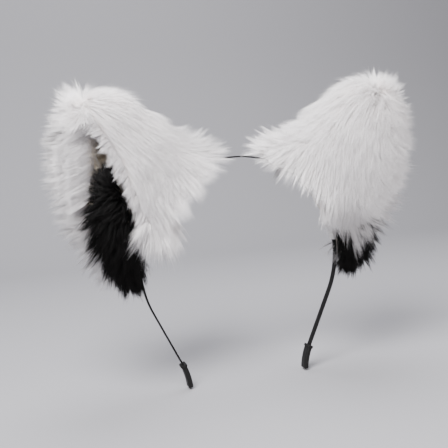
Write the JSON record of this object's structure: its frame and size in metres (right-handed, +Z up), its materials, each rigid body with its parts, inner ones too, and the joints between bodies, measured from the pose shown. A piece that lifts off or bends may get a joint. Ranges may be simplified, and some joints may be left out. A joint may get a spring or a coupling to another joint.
{
  "type": "animal ears headband",
  "caption": "Slim sprung headband with rubber tips, carrying a pair of upright plush animal ears with white fur, a beige lined cup and a long black inner tuft.",
  "frame": {"origin": "centre of the hoop's upper arc, where the centre of the wearer's head lies", "axes": "+Z up through the top of the hoop, +X to the ear on the right as seen from the front, front towards -Y; the hoop lies in the XZ plane"},
  "size_m": [0.2514, 0.0733, 0.2081],
  "materials": {
    "black_steel": "satin black coating",
    "black_rubber": "matt",
    "white_fur": "long-pile faux fur",
    "black_fur": "long-pile faux fur",
    "beige_lining": "short-pile cloth",
    "foam": "open foam",
    "wire": "galvanised",
    "card": "stiff board",
    "felt": "felt",
    "white_ribbon": "woven ribbon",
    "thread": "twisted thread"
  },
  "bodies": {
    "crown": {"band_crown": "black_steel"},
    "left_side": {"left_band_side": "black_steel", "left_end_cap": "black_rubber"},
    "left_ear": {"left_ear_fur": "white_fur", "left_ear_core": "foam", "left_ear_lining": "beige_lining", "left_ear_edge_wire": "wire", "left_ear_inner_tuft": "black_fur", "left_ear_corner_tuft": "white_fur", "left_ear_base_card": "card", "left_ear_felt_pad": "felt", "left_ear_strip_sleeve": "white_ribbon", "left_ear_stitches": "thread"},
    "right_side": {"right_band_side": "black_steel", "right_end_cap": "black_rubber"},
    "right_ear": {"right_ear_fur": "white_fur", "right_ear_core": "foam", "right_ear_lining": "beige_lining", "right_ear_edge_wire": "wire", "right_ear_inner_tuft": "black_fur", "right_ear_corner_tuft": "white_fur", "right_ear_base_card": "card", "right_ear_felt_pad": "felt", "right_ear_strip_sleeve": "white_ribbon", "right_ear_stitches": "thread"}
  },
  "joints": [
    {"name": "left_flex", "type": "hinge", "parent": "crown", "child": "left_side", "pos_m": [-0.0052, 0, 0.0693], "axis": [0, 1, 0], "range_deg": [-3, 12], "stiffness_Nm_per_rad": 2},
    {"name": "left_ear_slide", "type": "hinge", "parent": "left_side", "child": "left_ear", "pos_m": [0, 0, 0], "axis": [0, -1, 0], "range_deg": [-3, 6]},
    {"name": "right_flex", "type": "hinge", "parent": "crown", "child": "right_side", "pos_m": [0.0052, 0, 0.0693], "axis": [0, -1, 0], "range_deg": [-3, 12], "stiffness_Nm_per_rad": 2},
    {"name": "right_ear_slide", "type": "hinge", "parent": "right_side", "child": "right_ear", "pos_m": [0, 0, 0], "axis": [0, 1, 0], "range_deg": [-3, 6]}
  ]
}
